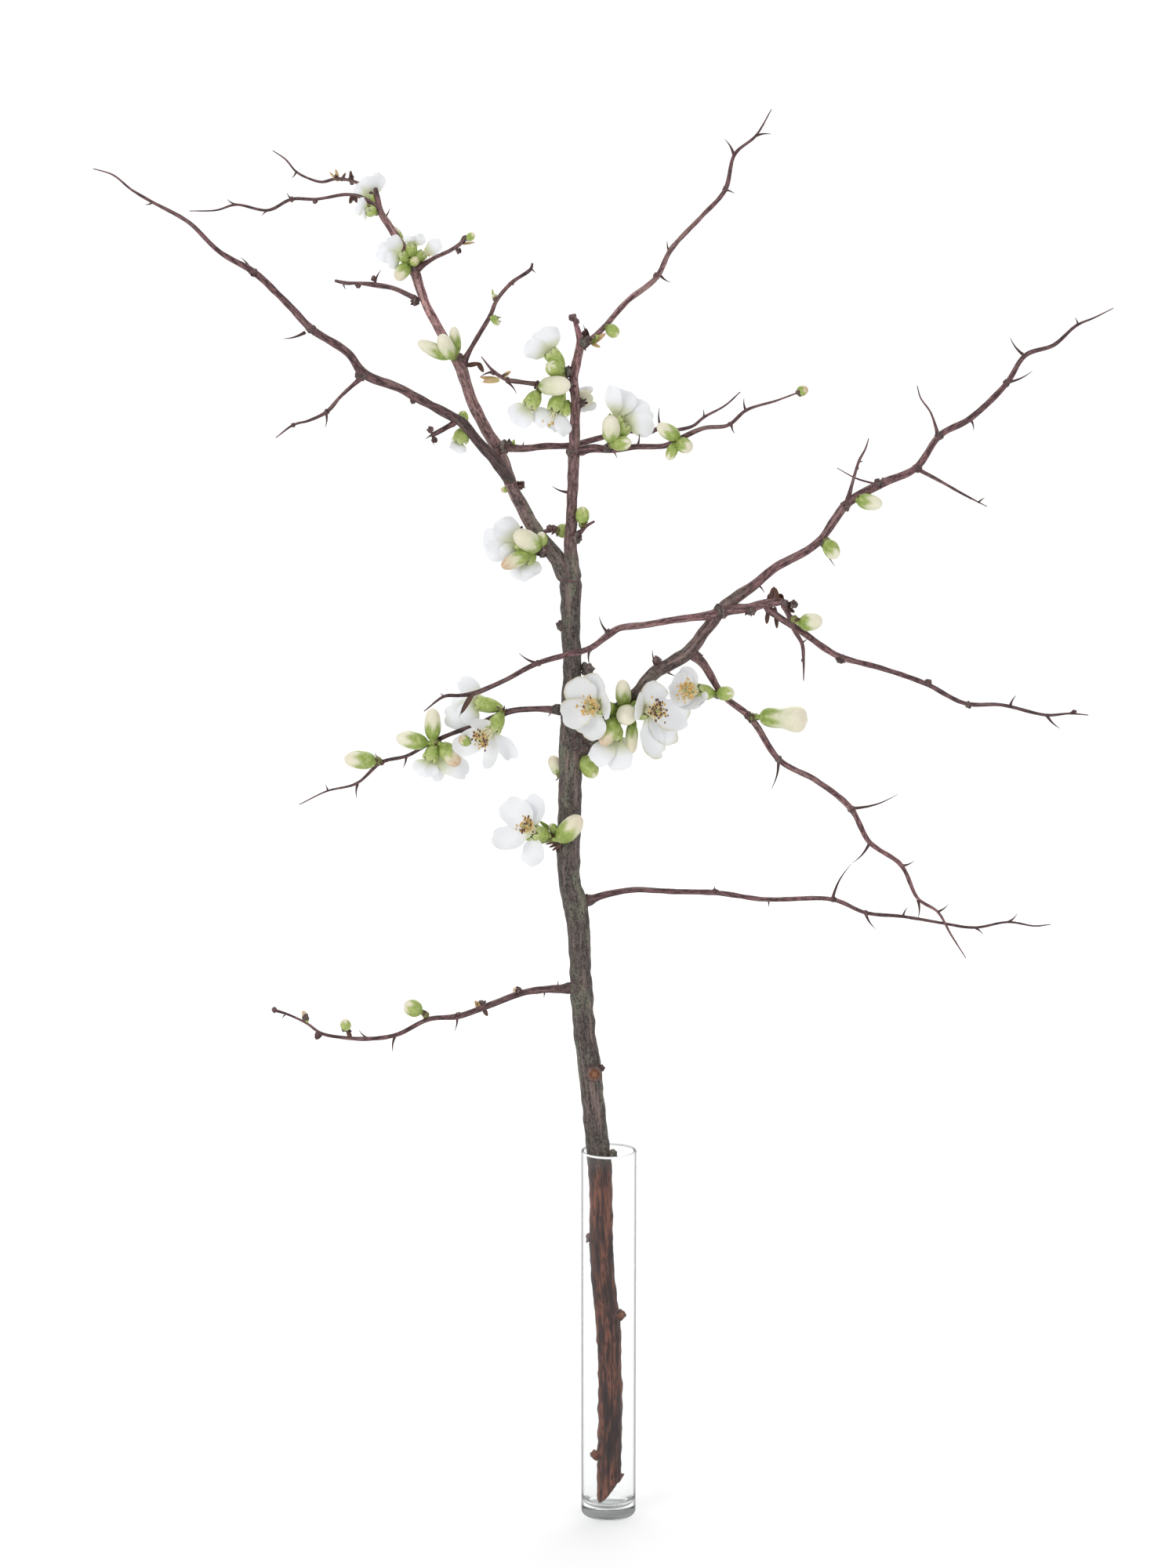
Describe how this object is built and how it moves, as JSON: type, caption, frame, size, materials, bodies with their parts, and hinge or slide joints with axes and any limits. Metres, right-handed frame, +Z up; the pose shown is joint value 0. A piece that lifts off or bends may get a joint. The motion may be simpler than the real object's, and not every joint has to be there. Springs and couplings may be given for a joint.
{
  "type": "flowering quince branch",
  "caption": "Cut branch of flowering quince with thorny crooked twigs, white blooms and green buds, standing in a clear glass cylinder vase.",
  "frame": {"origin": "middle of the vase's flat foot, on the surface it stands on", "axes": "+Z up along the vase, -Y towards the front, +X to the right seen from the front"},
  "size_m": [0.6299, 0.2126, 0.9125],
  "materials": {
    "glass": "clear polished glass, 2 mm wall",
    "bark": "dull grey-brown bark with grey-green lichen, reddish on young twigs",
    "green": "smooth waxy yellow-green calyx and bud",
    "petal": "matt white petal, slightly translucent",
    "stamen": "pale yellow filaments with orange-yellow and brown heads"
  },
  "bodies": {
    "root": {"vase": "glass", "wood": "bark", "greens_trunk_spur": "green", "greens_mid_left_pair": "green", "greens_mid_left_bunch": "green", "greens_mid_left_bud": "green", "greens_heart": "green", "greens_drop_pair": "green", "greens_drop_side": "green", "greens_fork_bud": "green", "greens_hidden_bud": "green", "greens_leader_spur": "green", "greens_between_bud": "green", "greens_right_spur_bud": "green", "greens_crown": "green", "greens_crown_left": "green", "greens_crown_back": "green", "greens_twig_right_pair": "green", "greens_twig_right_buds": "green", "greens_leader_top": "green", "greens_leader_top_bud": "green", "greens_leader_tip": "green", "greens_leader_buds": "green", "greens_arch_back": "green", "greens_right_bud": "green", "greens_right_low_bud": "green", "greens_hang_bud": "green", "greens_low_left_bud": "green", "greens_north_east_bud": "green", "petals_bloom_trunk_spur": "petal", "petals_bloom_mid_left_front": "petal", "petals_bloom_mid_left_back": "petal", "petals_bloom_mid_left_bunch": "petal", "petals_bloom_heart_left": "petal", "petals_bloom_heart_right": "petal", "petals_bloom_heart_low": "petal", "petals_bloom_drop": "petal", "petals_bloom_leader_spur": "petal", "petals_bloom_leader_low": "petal", "petals_bloom_crown": "petal", "petals_bloom_crown_low": "petal", "petals_bloom_crown_left": "petal", "petals_bloom_crown_back": "petal", "petals_bloom_twig_tall": "petal", "petals_bloom_twig_side": "petal", "petals_bloom_top_left": "petal", "petals_bloom_top_up": "petal", "petals_bloom_top_right": "petal", "petals_bloom_tip_up": "petal", "petals_bloom_tip_left": "petal", "petals_bloom_arch_back": "petal", "stamens_bloom_trunk_spur": "stamen", "stamens_bloom_mid_left_front": "stamen", "stamens_bloom_heart_left": "stamen", "stamens_bloom_heart_right": "stamen", "stamens_bloom_drop": "stamen", "stamens_bloom_crown_low": "stamen"}
  },
  "joints": []
}
